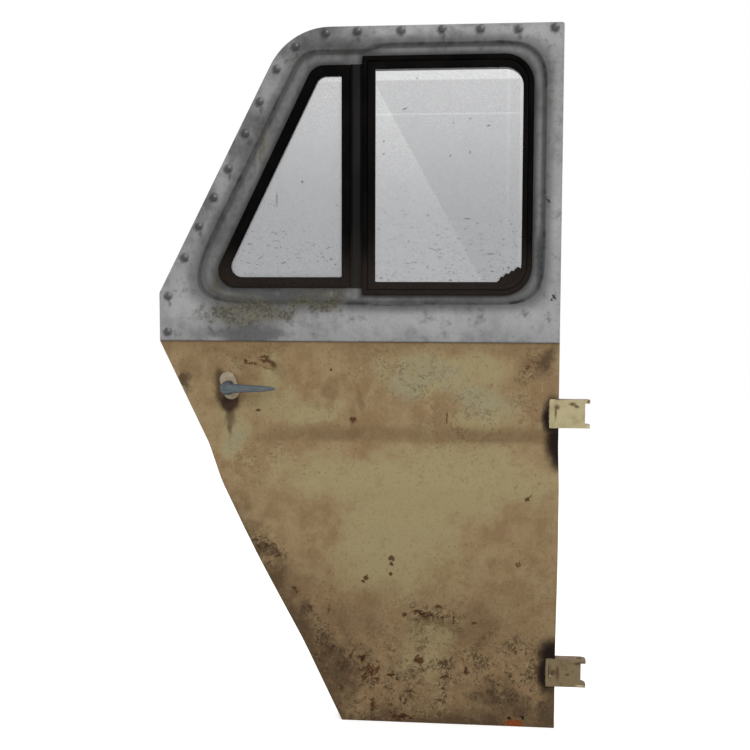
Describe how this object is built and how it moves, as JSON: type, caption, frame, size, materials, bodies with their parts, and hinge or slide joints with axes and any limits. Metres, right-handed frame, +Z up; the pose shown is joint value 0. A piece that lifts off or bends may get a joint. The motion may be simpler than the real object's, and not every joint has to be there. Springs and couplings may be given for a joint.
{
  "type": "van cab door",
  "caption": "Weathered steel van cab door with a riveted window frame, fixed quarter light, sash, shouldered lower body, fork hinges and turning handle.",
  "frame": {"origin": "on the hinge pin axis, on the underside of the lower hinge's lower ear", "axes": "+Z up along the pin axis, -Y towards the outside of the van, -X from the hinge edge towards the slanted windscreen edge"},
  "size_m": [0.805, 0.1117, 1.3],
  "materials": {
    "body_paint": "old khaki paint, stained brown, with chips and rust",
    "frame_paint": "mottled grey paint with grime in the pressing",
    "inner_paint": "dull paint with light rust",
    "black_paint": "worn black paint",
    "upper_hinge_paint": "light tan paint",
    "lower_hinge_paint": "brown dirty paint",
    "escutcheon_paint": "worn paint with a rusty rim",
    "lever_steel": "dull blue-grey steel",
    "plain_steel": "dull steel",
    "rubber": "aged black rubber",
    "glass": "hazy, scratched glass"
  },
  "bodies": {
    "door": {"lower_skin": "body_paint", "upper_skin": "frame_paint", "window_inner_frame": "frame_paint", "hinge_stile": "inner_paint", "belt_rail": "inner_paint", "lower_front_rail": "inner_paint", "bottom_rail": "inner_paint", "inner_panel": "inner_paint", "service_cover": "inner_paint", "quarter_glass": "glass", "quarter_seal": "rubber", "division_post": "black_paint", "sash_run": "rubber", "sash_frame": "black_paint", "sash_glass": "glass", "upper_hinge_arm": "upper_hinge_paint", "upper_hinge_edge_plate": "upper_hinge_paint", "upper_hinge_backing": "inner_paint", "lower_hinge_arm": "lower_hinge_paint", "lower_hinge_edge_plate": "lower_hinge_paint", "lower_hinge_backing": "inner_paint", "outer_escutcheon": "escutcheon_paint", "inner_escutcheon": "plain_steel", "latch_case": "plain_steel", "latch_bolt": "plain_steel"},
    "handle": {"outer_lever": "lever_steel", "handle_spindle": "plain_steel", "inner_lever": "lever_steel"}
  },
  "joints": [
    {"name": "handle_turn", "type": "hinge", "parent": "door", "child": "handle", "pos_m": [-0.659, 0, 0.557], "axis": [0, 1, 0], "range_deg": [0, 45], "stiffness_Nm_per_rad": 0.8, "springref_deg": -28.65}
  ]
}
